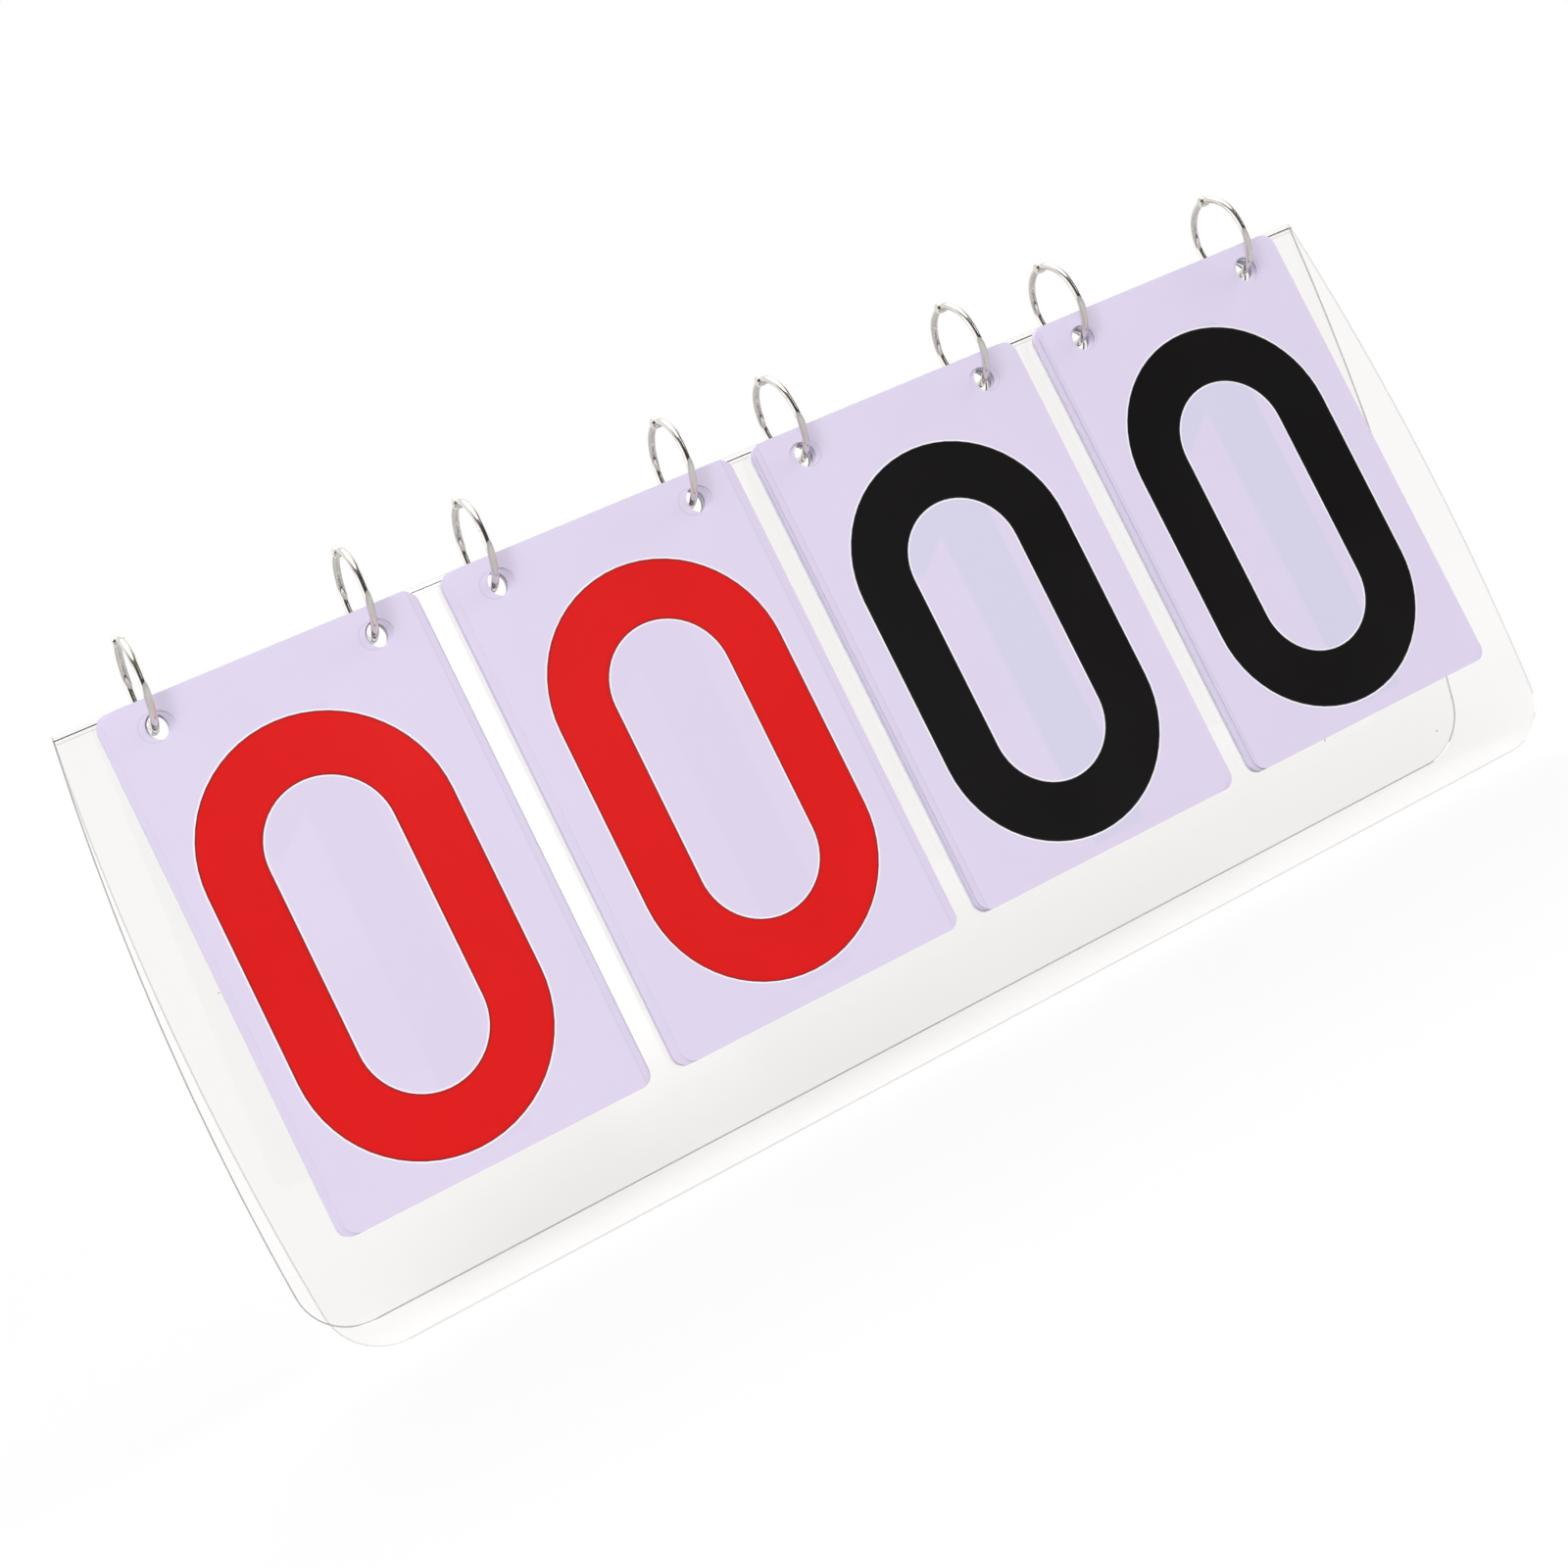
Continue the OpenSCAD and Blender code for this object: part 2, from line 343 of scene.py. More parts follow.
# %% [markdown]
# ## Cards
# The cards are thin matt plastic with a faint lilac cast, forty in all. Their prints do not
# all sit alike. The digits of the two front cards of each stack stand where the photograph
# shows them, up to four millimetres off the middle, and the others are centred. A card is
# found by its own box, so each print follows its card wherever the frame puts it.

# %% Where the print sits on a card
# how far the two panels of the tent stand apart
OPEN_ANGLE = math.radians(14)
SLOPE = OPEN_ANGLE / 2
SHEET_H = 0.167
CREASE_Z = SHEET_H * math.cos(SLOPE)
STACKS = ["red_tens", "red_ones", "black_tens", "black_ones"]
CARDS_N = 10
STROKE = 0.0163
DIGIT_W = 0.0662
DIGIT_H = 0.1162
# how far the middle of a digit lies below the crease, down the slope
DIGIT_MID = 0.0757
# how far right and up the print sits off the middle of the front card and of the next one
PRINT_SHIFT = {
    "red_tens": [(-0.0042, 0.0), (-0.001, 0.0)],
    "red_ones": [(-0.0001, 0.0018), (0.0, 0.0)],
    "black_tens": [(0.0005, 0.0), (-0.0009, -0.0015)],
    "black_ones": [(-0.0001, 0.0), (-0.0009, 0.0)],
}
# on the front panel, down the slope and straight out of it
down_slope = Vector((0, -math.sin(SLOPE), -math.cos(SLOPE)))
outward = Vector((0, -math.cos(SLOPE), math.sin(SLOPE)))


def card_middle(name):
    """The X of a card's middle."""
    low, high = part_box(name)
    return (low.x + high.x) / 2


def print_shift(stack, k):
    """How far right and up the print of card k is shifted."""
    return PRINT_SHIFT[stack][k] if k < len(PRINT_SHIFT[stack]) else (0.0, 0.0)


for stack in STACKS:
    print(stack, "front card's middle at", round(card_middle(f"{stack}_card_0") * 1000, 2), "mm")

# %% [markdown]
# The plastic lets a little light through, so the 1 on the next card shows in the hollow of
# each 0 as a faint blue or pink shadow. Real translucency would need ten see-through layers
# in every stack. A mask that is drawn from the 1's own measures gives the same look on the
# front card: a box for the stem, and a box in turned coordinates for the flag.

# %% Measures of the 1 and a box with a blurred edge
STEM_LEFT = -0.004
# the flag slants down from the top of the stem to the left
FLAG_ANGLE = math.radians(40)
FLAG_RUN = 0.030
# its upper edge starts this far inside the stem, so that the two strokes overlap
FLAG_TUCK = 0.002
GHOST_BLUR = 0.0006
flag_up = Vector((-math.sin(FLAG_ANGLE), math.cos(FLAG_ANGLE)))
flag_start = Vector((STEM_LEFT + FLAG_TUCK, DIGIT_H / 2)) - STROKE / 2 * flag_up


def soft_box(tree_nodes, tree_links, x, y, left, right, low, high):
    """1 inside a box of two coordinates and 0 outside, with a blurred edge."""
    mask = None
    for value, start, end in ((x, left, right), (y, low, high)):
        for at, before, after in ((start, 0.0, 1.0), (end, 1.0, 0.0)):
            side = add(tree_nodes, "ShaderNodeMapRange", i3=before, i4=after)
            side.inputs[1].default_value = at - GHOST_BLUR
            side.inputs[2].default_value = at + GHOST_BLUR
            tree_links.new(value, side.inputs[0])
            side = side.outputs[0]
            mask = side if mask is None else calc(tree_nodes, tree_links, "MULTIPLY", mask, side)
    return mask


size_text = f"{DIGIT_W * 1000:.1f} by {DIGIT_H * 1000:.1f} mm"
print("a digit is", size_text, "with a stroke of", round(STROKE * 1000, 1), "mm")

# %% [markdown]
# The group takes the middle of the next card's print and how far it is raised, and puts out
# the mask of a 1 that stands there.

# %% Group for the digit that shows through
ghost_inputs = {"Middle": 0.0, "Raised": 0.0}
ghost_group, given, g_out = new_group("print behind", ghost_inputs, "Mask")
gn, gl = ghost_group.nodes, ghost_group.links
where = add(gn, "ShaderNodeTexCoord")
split = add(gn, "ShaderNodeSeparateXYZ")
gl.new(where.outputs["Object"], split.inputs[0])
across = calc(gn, gl, "SUBTRACT", split.outputs["X"], given["Middle"])
print_z = CREASE_Z - DIGIT_MID * math.cos(SLOPE)
height = calc(gn, gl, "SUBTRACT", split.outputs["Z"], calc(gn, gl, "ADD", given["Raised"], print_z))
stem_right = STEM_LEFT + STROKE
stem = soft_box(gn, gl, across, height, STEM_LEFT, stem_right, -DIGIT_H / 2, DIGIT_H / 2)


def turned(way):
    """The coordinate along a direction, measured from the start of the flag."""
    part_x = calc(gn, gl, "MULTIPLY", across, way.x)
    part_y = calc(gn, gl, "ADD", calc(gn, gl, "MULTIPLY", height, way.y), -way.dot(flag_start))
    return calc(gn, gl, "ADD", part_x, part_y)


flag_way = Vector((-math.cos(FLAG_ANGLE), -math.sin(FLAG_ANGLE)))
flag = soft_box(gn, gl, turned(flag_way), turned(flag_up), 0.0, FLAG_RUN, -STROKE / 2, STROKE / 2)
gl.new(calc(gn, gl, "MAXIMUM", stem, flag), g_out.inputs["Mask"])
print("the 1 that shows through stands at z", round(print_z, 4))

# %% [markdown]
# The outline of the next card shows through as well, as painted shade: its two holes as faint
# rings beside the real ones, its long side as a faint line where the two cards are out of line,
# and a slightly darker band past that side, where one layer less lies behind. The rings and the
# line are drawn by distance. A point on a card or a panel is first turned into its X and its
# depth down the slope from the crease, and then its distance to a circle or a line is compared
# with the width of a drawn line.

# %% Group for the next card's outline
HOLE_GAP = 0.059
HOLE_DROP = 0.0076
HOLE_R = 0.0037
# past the next card's side there is one layer less behind the front card, so less light comes
# back through it, and the card is painted a little darker there as painted shade
ONE_LAYER_LESS_SHADE = 0.3
card_low, card_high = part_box("red_tens_card_0")
CARD_W = card_high.x - card_low.x


def sheet_place(tree_nodes, tree_links):
    """X along the board and the depth below the crease, for a point on a panel or a card."""
    where = add(tree_nodes, "ShaderNodeTexCoord")
    xyz = add(tree_nodes, "ShaderNodeSeparateXYZ")
    tree_links.new(where.outputs["Object"], xyz.inputs[0])
    out_y = calc(tree_nodes, tree_links, "ABSOLUTE", xyz.outputs["Y"])
    below = calc(tree_nodes, tree_links, "SUBTRACT", CREASE_Z, xyz.outputs["Z"])
    part_y = calc(tree_nodes, tree_links, "MULTIPLY", out_y, math.sin(SLOPE))
    part_z = calc(tree_nodes, tree_links, "MULTIPLY", below, math.cos(SLOPE))
    return xyz.outputs["X"], calc(tree_nodes, tree_links, "ADD", part_y, part_z)


def length_2d(tree_nodes, tree_links, a, b):
    """The length of a line with these two sides."""
    squares = [calc(tree_nodes, tree_links, "MULTIPLY", v, v) for v in (a, b)]
    return calc(tree_nodes, tree_links, "SQRT", calc(tree_nodes, tree_links, "ADD", *squares))


outline_inputs = {"Middle": 0.0, "Line width": 0.0003}
next_card_group, given, g_out = new_group("next card outline", outline_inputs, "Mask")
gn, gl = next_card_group.nodes, next_card_group.links
x, depth = sheet_place(gn, gl)
off_middle = calc(gn, gl, "ABSOLUTE", calc(gn, gl, "SUBTRACT", x, given["Middle"]))
hole_x = calc(gn, gl, "SUBTRACT", off_middle, HOLE_GAP / 2)
hole_depth = calc(gn, gl, "SUBTRACT", depth, HOLE_DROP)
from_hole = length_2d(gn, gl, hole_x, hole_depth)
to_rim = calc(gn, gl, "ABSOLUTE", calc(gn, gl, "SUBTRACT", from_hole, HOLE_R))
to_side = calc(gn, gl, "ABSOLUTE", calc(gn, gl, "SUBTRACT", off_middle, CARD_W / 2))
nearest = calc(gn, gl, "MINIMUM", to_rim, to_side)
in_widths = calc(gn, gl, "DIVIDE", nearest, given["Line width"])
drawn = calc(gn, gl, "MAXIMUM", calc(gn, gl, "SUBTRACT", 1.0, in_widths), 0.0)
past_side = calc(gn, gl, "GREATER_THAN", off_middle, CARD_W / 2)
past_side = calc(gn, gl, "MULTIPLY", past_side, ONE_LAYER_LESS_SHADE)
gl.new(calc(gn, gl, "MAXIMUM", drawn, past_side), g_out.inputs["Mask"])
print("a card is", round(CARD_W * 1000, 1), "mm wide")

# %% [markdown]
# The cut edges of the cards and the walls of their holes are painted whiter than the printed
# faces. This is partly the whiter core of the plastic and partly painted light: the brightness
# that the thin plastic lets through at its edges, which the lamps alone do not give them. A face
# of a card looks along the slope's own direction, and a cut edge looks across it, so the normal
# tells the two apart.

# %% Group for the cut edges of the cards
cut_group, given, g_out = new_group("cut card edge", {"Tolerance": 0.7}, "Mask")
gn, gl = cut_group.nodes, cut_group.links
where = add(gn, "ShaderNodeTexCoord")
along_slope = add(gn, "ShaderNodeVectorMath", operation="DOT_PRODUCT", i1=outward)
gl.new(where.outputs["Normal"], along_slope.inputs[0])
facing = calc(gn, gl, "ABSOLUTE", along_slope.outputs["Value"])
gl.new(calc(gn, gl, "LESS_THAN", facing, given["Tolerance"]), g_out.inputs["Mask"])
print("card faces look along", [round(v, 3) for v in outward])

# %% [markdown]
# Every finish starts from one Principled shader. Its colour is built up by laying one colour
# over another through a mask, and its relief comes from a bump. A new finish takes the place
# of the one that a piece came with. Four helpers do these things for all that follows.

# %% Helpers for a finish
def mix_colour(tree, mask, a, b):
    """A colour mix node. a and b are colours or sockets."""
    mix = add(tree.nodes, "ShaderNodeMix", data_type="RGBA")
    tree.links.new(mask, mix.inputs[0])
    for value, socket in ((a, mix.inputs[6]), (b, mix.inputs[7])):
        if isinstance(value, tuple):
            socket.default_value = value
        else:
            tree.links.new(value, socket)
    return mix.outputs[2]


def principled(name, **plain):
    """A material with one Principled shader, whose plain inputs are set on its own sockets."""
    mat = bpy.data.materials.new(name)
    mat.use_nodes = True
    shader = mat.node_tree.nodes["Principled BSDF"]
    for key, value in plain.items():
        shader.inputs[key.replace("_", " ")].default_value = value
    print("material", name)
    return mat, mat.node_tree, shader


def bump(tree, shader, height_socket, distance, strength):
    """A bump of the shader's surface, distance deep."""
    node = add(tree.nodes, "ShaderNodeBump")
    node.inputs["Strength"].default_value = strength
    node.inputs["Distance"].default_value = distance
    tree.links.new(height_socket, node.inputs["Height"])
    tree.links.new(node.outputs[0], shader.inputs["Normal"])


def dress(name, material):
    """Gives a piece of the frame one material."""
    slots = nodes[name].data.materials
    slots.clear()
    slots.append(material)


# %% [markdown]
# The card finish puts the masks on one matt plastic: faint clouds of two lilac whites, the
# shapes that show through on the four front cards as painted shade, the cut edges painted
# whiter, partly as painted light, and a speck of dust here and there. The fine bump is the grain
# of the plastic. Each front card has a material of its own, because the shapes behind it lie
# differently in each stack. The others share one.

# %% Card material
CARD_WHITE = (0.757, 0.684, 0.868, 1)
CARD_SHADE = (0.742, 0.670, 0.856, 1)
# colour of the cut edges: the plastic's whiter core together with painted light on the edges
CARD_CORE_AND_LIGHT = (0.92, 0.89, 0.96, 1)
# colour of the next card's outline and of the band past its side, both painted shade
CARD_LINE = (0.655, 0.590, 0.770, 1)
CARD_DUST = (0.25, 0.23, 0.24, 1)
BEHIND = {"red": (0.734, 0.660, 0.848, 1), "black": (0.685, 0.657, 0.832, 1)}


def card_material(name, next_middle=None, next_print=None, behind=None):
    """The card plastic. With behind, a colour, the next card's shapes show through."""
    mat, tree, shader = principled(name, IOR=1.46)
    clouds = use_group(tree, cloud_group, Clouds_per_metre=28.0, Detail=2.0)
    colour = mix_colour(tree, clouds, CARD_WHITE, CARD_SHADE)
    if behind is not None:
        right, raised = next_print
        ghost = use_group(tree, ghost_group, Middle=next_middle + right, Raised=raised)
        colour = mix_colour(tree, ghost, colour, behind)
        # the next card's outline and the band past its side, painted shade that shows through
        outline = use_group(tree, next_card_group, Middle=next_middle)
        colour = mix_colour(tree, outline, colour, CARD_LINE)
    # cut edges and hole walls painted whiter: the whiter core, and painted light
    colour = mix_colour(tree, use_group(tree, cut_group), colour, CARD_CORE_AND_LIGHT)
    dust = use_group(tree, dust_group, Specks_per_metre=70.0, Speck_size=0.018, Share=0.12)
    tree.links.new(mix_colour(tree, dust, colour, CARD_DUST), shader.inputs["Base Color"])
    matt = use_group(tree, cloud_group, Clouds_per_metre=900.0, Detail=4.0, Low=0.38, High=0.50)
    tree.links.new(matt, shader.inputs["Roughness"])
    grain = use_group(tree, cloud_group, Clouds_per_metre=2600.0, Detail=3.0)
    bump(tree, shader, grain, distance=0.000012, strength=0.5)
    return mat


plain_card = card_material("lilac_white_card")
for stack in STACKS:
    behind = BEHIND[stack.split("_")[0]]
    next_middle = card_middle(f"{stack}_card_1")
    top_card = card_material(f"top_card_{stack}", next_middle, print_shift(stack, 1), behind)
    for k in range(CARDS_N):
        dress(f"{stack}_card_{k}", top_card if k == 0 else plain_card)

# %% [markdown]
# ## Printed digits
# Every digit is drawn with a flat brush of one width, as on the real cards: two straight
# sides and two half rounds make the 0. A font would bring its own shapes, so the digits are
# made like brush strokes instead. The brush is one edge. A straight run is that edge
# extruded, and a bend is that edge spun about the middle of the bend, both bmesh operators.

# %% A brush that draws with one edge
# degrees to a step of a bend
BEND_STEP = 6
# each stroke lies a little above the one before it, so that no two faces share a plane
STROKE_RISE = 0.0000005


def about_z(degrees):
    """A turn in the plane of the drawing."""
    return Quaternion((0, 0, 1), math.radians(degrees))


class Brush:
    """Draws strokes in the XY plane. Headings are in degrees, 0 to the right and 90 up."""

    def __init__(self, width):
        self.bm = bmesh.new()
        self.width = width
        self.level = 0.0

    def put(self, x, y, heading):
        """Sets the brush down for a new stroke."""
        self.level += STROKE_RISE
        self.at = Vector((x, y, self.level))
        self.heading = heading
        side = about_z(heading) @ Vector((0, self.width / 2, 0))
        ends = [self.bm.verts.new(self.at + side), self.bm.verts.new(self.at - side)]
        self.edge = self.bm.edges.new(ends)
        return self

    def way(self):
        """The direction of the heading."""
        return about_z(self.heading) @ Vector((1, 0, 0))

    def drag(self, edge, by):
        """Extrudes an edge and moves the new one, which it returns."""
        made = bmesh.ops.extrude_edge_only(self.bm, edges=[edge])["geom"]
        corners = [g for g in made if isinstance(g, bmesh.types.BMVert)]
        bmesh.ops.translate(self.bm, verts=corners, vec=by)
        sides = [g for g in made if isinstance(g, bmesh.types.BMEdge)]
        return next(s for s in sides if all(v in corners for v in s.verts))

    def run(self, length):
        """Draws straight on."""
        self.edge = self.drag(self.edge, self.way() * length)
        self.at += self.way() * length
        return self

    def turn(self, degrees, radius):
        """Bends to the left by that many degrees, or to the right if they are negative."""
        left = about_z(90 if degrees > 0 else -90) @ self.way()
        middle = self.at + left * radius
        made = bmesh.ops.spin(
            self.bm,
            geom=[self.edge, *self.edge.verts],
            cent=middle,
            axis=(0, 0, 1),
            dvec=(0, 0, 0),
            angle=math.radians(degrees),
            steps=max(2, math.ceil(abs(degrees) / BEND_STEP)),
            use_merge=False,
            use_duplicate=False,
        )["geom_last"]
        self.edge = next(g for g in made if isinstance(g, bmesh.types.BMEdge))
        self.heading += degrees
        self.at = middle + about_z(degrees) @ (self.at - middle)
        return self

    def slant(self, x_top, y_top, x_low, y_low, across, grow):
        """A slanting leg that is cut level at both ends, across wide from its left edge."""
        self.level += STROKE_RISE
        tops = (x_top - grow, x_top + across + grow)
        ends = [self.bm.verts.new((x, y_top + grow, self.level)) for x in tops]
        self.drag(self.bm.edges.new(ends), Vector((x_low - x_top, y_low - y_top - 2 * grow, 0)))
        return self


print("a half round has", math.ceil(180 / BEND_STEP), "steps")

# %% [markdown]
# With the brush, each digit is a few strokes. The 0 is one closed loop. The others need two
# or three strokes that cross or meet, and the 4 and the 7 have a slanting leg that is cut
# level at both ends, as sign writers do it. The middle of the brush keeps half a stroke
# inside the outline of the digit, which gives the reach of every stroke.

# %% The ten digits as strokes
HALF = (DIGIT_W - STROKE) / 2
REACH = (DIGIT_H - STROKE) / 2


def draw_digit(digit, grow=0.0):
    """The strokes of one digit about its own middle. grow widens or narrows every stroke."""
    brush = Brush(STROKE + 2 * grow)
    bar = DIGIT_W + 2 * grow
    tall = DIGIT_H + 2 * grow
    if digit == 0:
        brush.put(HALF, HALF - REACH, 90).run(2 * (REACH - HALF)).turn(180, HALF)
        brush.run(2 * (REACH - HALF)).turn(180, HALF)
    elif digit == 1:
        brush.put(STEM_LEFT + STROKE / 2, -tall / 2, 90).run(tall)
        brush.put(flag_start.x, flag_start.y, 180 + math.degrees(FLAG_ANGLE)).run(FLAG_RUN + grow)
    elif digit == 2:
        # the slanting stroke leaves the round at the point from which it heads for the foot
        foot_in = 0.003
        foot = Vector((-HALF + foot_in, -REACH))
        far = (Vector((0, REACH - HALF)) - foot).length
        lean = math.atan2(REACH - HALF - foot.y, -foot.x) - math.asin(HALF / far)
        brush.put(-HALF, REACH - HALF, 90).turn(-(180 + 90 - math.degrees(lean)), HALF)
        brush.run(math.sqrt(far * far - HALF * HALF))
        brush.put(-bar / 2, -REACH, 0).run(bar)
    elif digit == 3:
        brush.put(-HALF, REACH / 2, 90).turn(-270, REACH / 2)
        brush.put(0, 0, 0).turn(-270, REACH / 2)
    elif digit == 4:
        leg_top_x, leg_end_y, leg_across = 0.0015, -0.017, 0.018
        bar_y, stem_x = -0.0252, 0.012
        brush.slant(leg_top_x, DIGIT_H / 2, -DIGIT_W / 2, leg_end_y, leg_across, grow)
        brush.put(-bar / 2, bar_y, 0).run(bar)
        brush.put(stem_x, -tall / 2, 90).run(tall)
    elif digit == 5:
        bar_trim, stem_past, belly_y, belly_trim = 0.003, 0.004, 0.0042, 0.002
        belly_r, tail_r = 0.027, 0.0229
        brush.put(-bar / 2, REACH, 0).run(bar - bar_trim)
        brush.put(-HALF, DIGIT_H / 2 + grow, -90).run(DIGIT_H / 2 + stem_past + 2 * grow)
        brush.put(-HALF, belly_y, 0).run(HALF - belly_trim).turn(-180, belly_r).turn(-80, tail_r)
    elif digit == 6:
        brush.put(-HALF, -REACH / 2, 90).run(REACH * 1.5 - HALF).turn(-165, HALF)
        brush.put(HALF, -REACH / 2, 90).turn(360, REACH / 2)
    elif digit == 7:
        bar_trim = 0.005
        leg_top_x, leg_foot_x, leg_across = 0.0161, -0.0165, 0.017
        brush.put(-bar / 2, REACH, 0).run(bar - bar_trim)
        brush.slant(leg_top_x, DIGIT_H / 2, leg_foot_x, -DIGIT_H / 2, leg_across, grow)
    elif digit == 8:
        brush.put(HALF, REACH / 2, 90).turn(360, REACH / 2)
        brush.put(HALF, -REACH / 2, 90).turn(360, REACH / 2)
    elif digit == 9:
        brush.put(HALF, REACH / 2, -90).run(REACH * 1.5 - HALF).turn(-165, HALF)
        brush.put(-HALF, REACH / 2, -90).turn(360, REACH / 2)
    bmesh.ops.remove_doubles(brush.bm, verts=brush.bm.verts, dist=STROKE_RISE / 3)
    return brush.bm


print("the brush reaches", round(HALF * 1000, 1), "mm aside and", round(REACH * 1000, 1), "mm up")

# %% [markdown]
# Ink has almost no thickness, but a plain sheet of faces would be an open shell, so each
# print is a closed film about a hundredth of a millimetre thick. It is built flat, thickened
# with the solidify operator and only then laid on the card's sloping face. Two thinner films
# of the same drawing lie under the ink. One is the dark bead where ink gathers at the edge
# of a stroke, and the other a white underlay that is drawn with a wider brush, so that it
# peeps out all round.

# %% Ink materials
INK_DUST = (0.22, 0.20, 0.20, 1)


def ink_material(name, colour, deep, low, high):
    """Glossy ink in faint clouds of two colours, with a roughness between low and high."""
    mat, tree, shader = principled(name, IOR=1.48, Specular_IOR_Level=0.28)
    clouds = use_group(tree, cloud_group, Clouds_per_metre=22.0, Detail=2.0)
    ink = mix_colour(tree, clouds, colour, deep)
    dust = use_group(tree, dust_group, Specks_per_metre=90.0, Speck_size=0.02, Share=0.2)
    tree.links.new(mix_colour(tree, dust, ink, INK_DUST), shader.inputs["Base Color"])
    gloss = use_group(tree, cloud_group, Clouds_per_metre=30.0, Detail=1.0, Low=low, High=high)
    tree.links.new(gloss, shader.inputs["Roughness"])
    grain = use_group(tree, cloud_group, Clouds_per_metre=250.0, Detail=1.0)
    bump(tree, shader, grain, distance=0.000004, strength=0.3)
    return mat


RED = (0.755, 0.0040, 0.0040, 1)
RED_DEEP = (0.715, 0.0028, 0.0030, 1)
BLACK = (0.0064, 0.0052, 0.0061, 1)
BLACK_DEEP = (0.0052, 0.0042, 0.0050, 1)
red_ink = ink_material("red_ink", RED, RED_DEEP, low=0.30, high=0.36)
black_ink = ink_material("black_ink", BLACK, BLACK_DEEP, low=0.28, high=0.34)

# %% [markdown]
# The bead and the underlay show only as hair lines, so a plain finish in two close colours
# is enough for them.

# %% Materials of the two films under the ink
def rim_material(name, colour, deep):
    """A plain satin finish in faint clouds of two colours."""
    mat, tree, shader = principled(name, Roughness=0.45)
    clouds = use_group(tree, cloud_group, Clouds_per_metre=60.0, Detail=2.0)
    tree.links.new(mix_colour(tree, clouds, colour, deep), shader.inputs["Base Color"])
    return mat


RED_BEAD = (0.32, 0.002, 0.006, 1)
RED_BEAD_DEEP = (0.28, 0.002, 0.005, 1)
BLACK_BEAD = (0.0012, 0.0009, 0.0018, 1)
BLACK_BEAD_DEEP = (0.0009, 0.0007, 0.0013, 1)
UNDERLAY = (0.95, 0.92, 0.97, 1)
UNDERLAY_DEEP = (0.91, 0.88, 0.94, 1)
red_bead = rim_material("red_ink_bead", RED_BEAD, RED_BEAD_DEEP)
black_bead = rim_material("black_ink_bead", BLACK_BEAD, BLACK_BEAD_DEEP)
underlay = rim_material("white_underlay", UNDERLAY, UNDERLAY_DEEP)

# %% [markdown]
# Each digit is drawn three times, once for each film. The ink is drawn a little narrower than
# the print, so that the bead shows at its edge, and the underlay a little wider.

# %% Draw every digit in three films
BEAD_W = 0.00042
UNDERLAY_W = 0.00045
# for each film, how far it reaches past the print, its height above the card, its thickness
FILMS = [
    (-BEAD_W, 0.0000033, 0.000014),
    (0.0, 0.0000021, 0.000009),
    (UNDERLAY_W, 0.000001, 0.000005),
]


def thicken(bm, lift, thick):
    """Makes a flat drawing a closed film that starts lift above its plane."""
    bmesh.ops.recalc_face_normals(bm, faces=bm.faces)
    for face in bm.faces:
        if face.normal.z < 0:
            face.normal_flip()
    bmesh.ops.solidify(bm, geom=bm.faces[:], thickness=-thick)
    low = min(v.co.z for v in bm.verts)
    bmesh.ops.translate(bm, verts=bm.verts, vec=(0, 0, lift - low))


drawings = {}
for digit in range(10):
    for layer, (grow, lift, thick) in enumerate(FILMS):
        bm = draw_digit(digit, grow)
        thicken(bm, lift, thick)
        drawings[digit, layer] = bm
print("drew", len(drawings), "films, the 0 with", len(drawings[0, 0].faces), "faces")

# %% [markdown]
# Each print is a copy of the three films of its digit, laid on its own card. It is one piece
# with three materials. It rides on its card, so it goes along when the card is flipped.

# %% Print a digit on every card
def to_card(stack, k):
    """The matrix that lays a drawing on the front face of a card."""
    name = f"{stack}_card_{k}"
    # the front face is the part of the card that lies furthest out
    face_out = max(v.co @ outward for v in nodes[name].data.vertices)
    right, up = print_shift(stack, k)
    middle = Vector((card_middle(name) + right, 0, CREASE_Z)) + down_slope * (DIGIT_MID - up)
    middle += outward * (face_out - middle @ outward)
    turn = Matrix((Vector((1, 0, 0)), -down_slope, outward)).transposed()
    return Matrix.Translation(middle) @ turn.to_4x4()


def join_films(digit):
    """One bmesh of a digit's three films, each with the index of its own material."""
    joined = bmesh.new()
    for layer in range(len(FILMS)):
        before = len(joined.faces)
        part = bpy.data.meshes.new("part")
        drawings[digit, layer].to_mesh(part)
        joined.from_mesh(part)
        bpy.data.meshes.remove(part)
        joined.faces.ensure_lookup_table()
        for face in joined.faces[before:]:
            face.material_index = layer
    return joined


for stack in STACKS:
    inks = (red_ink, red_bead) if stack.startswith("red") else (black_ink, black_bead)
    for k in range(CARDS_N):
        mesh = bpy.data.meshes.new(f"print_{stack}_{k}")
        for ink in (*inks, underlay):
            mesh.materials.append(ink)
        joined = join_films(k)
        bmesh.ops.transform(joined, matrix=to_card(stack, k), verts=joined.verts)
        joined.to_mesh(mesh)
        joined.free()
        print_piece = bpy.data.objects.new(f"print_{stack}_{k}", mesh)
        bpy.context.scene.collection.objects.link(print_piece)
        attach(print_piece, f"{stack}_card_{k}")
for bm in drawings.values():
    bm.free()
print("printed", len(STACKS) * CARDS_N, "cards")

# %% [markdown]
# ## Clear sheet
# The clear sheet's cut edges are a little rounded, so they bend light away and look like thin
# grey lines, and so do the rims of the punched holes. Sharp edges in glass stay invisible, and
# rounding them would need a changed mesh, so a mask draws the lines. It follows the outline
# by its own formula: two long arcs for the bowed sides, two round corners, the straight
# foot, and the holes, which repeat from stack to stack.

# %% Distance to the edge of the sheet
SHEET_W = 0.394
SIDE_BOW = 0.0045
CORNER_R = 0.016
STACK_PITCH = 0.093
EDGE_LINE_W = 0.0004
FOLD_LINE_DEPTH = 0.0017
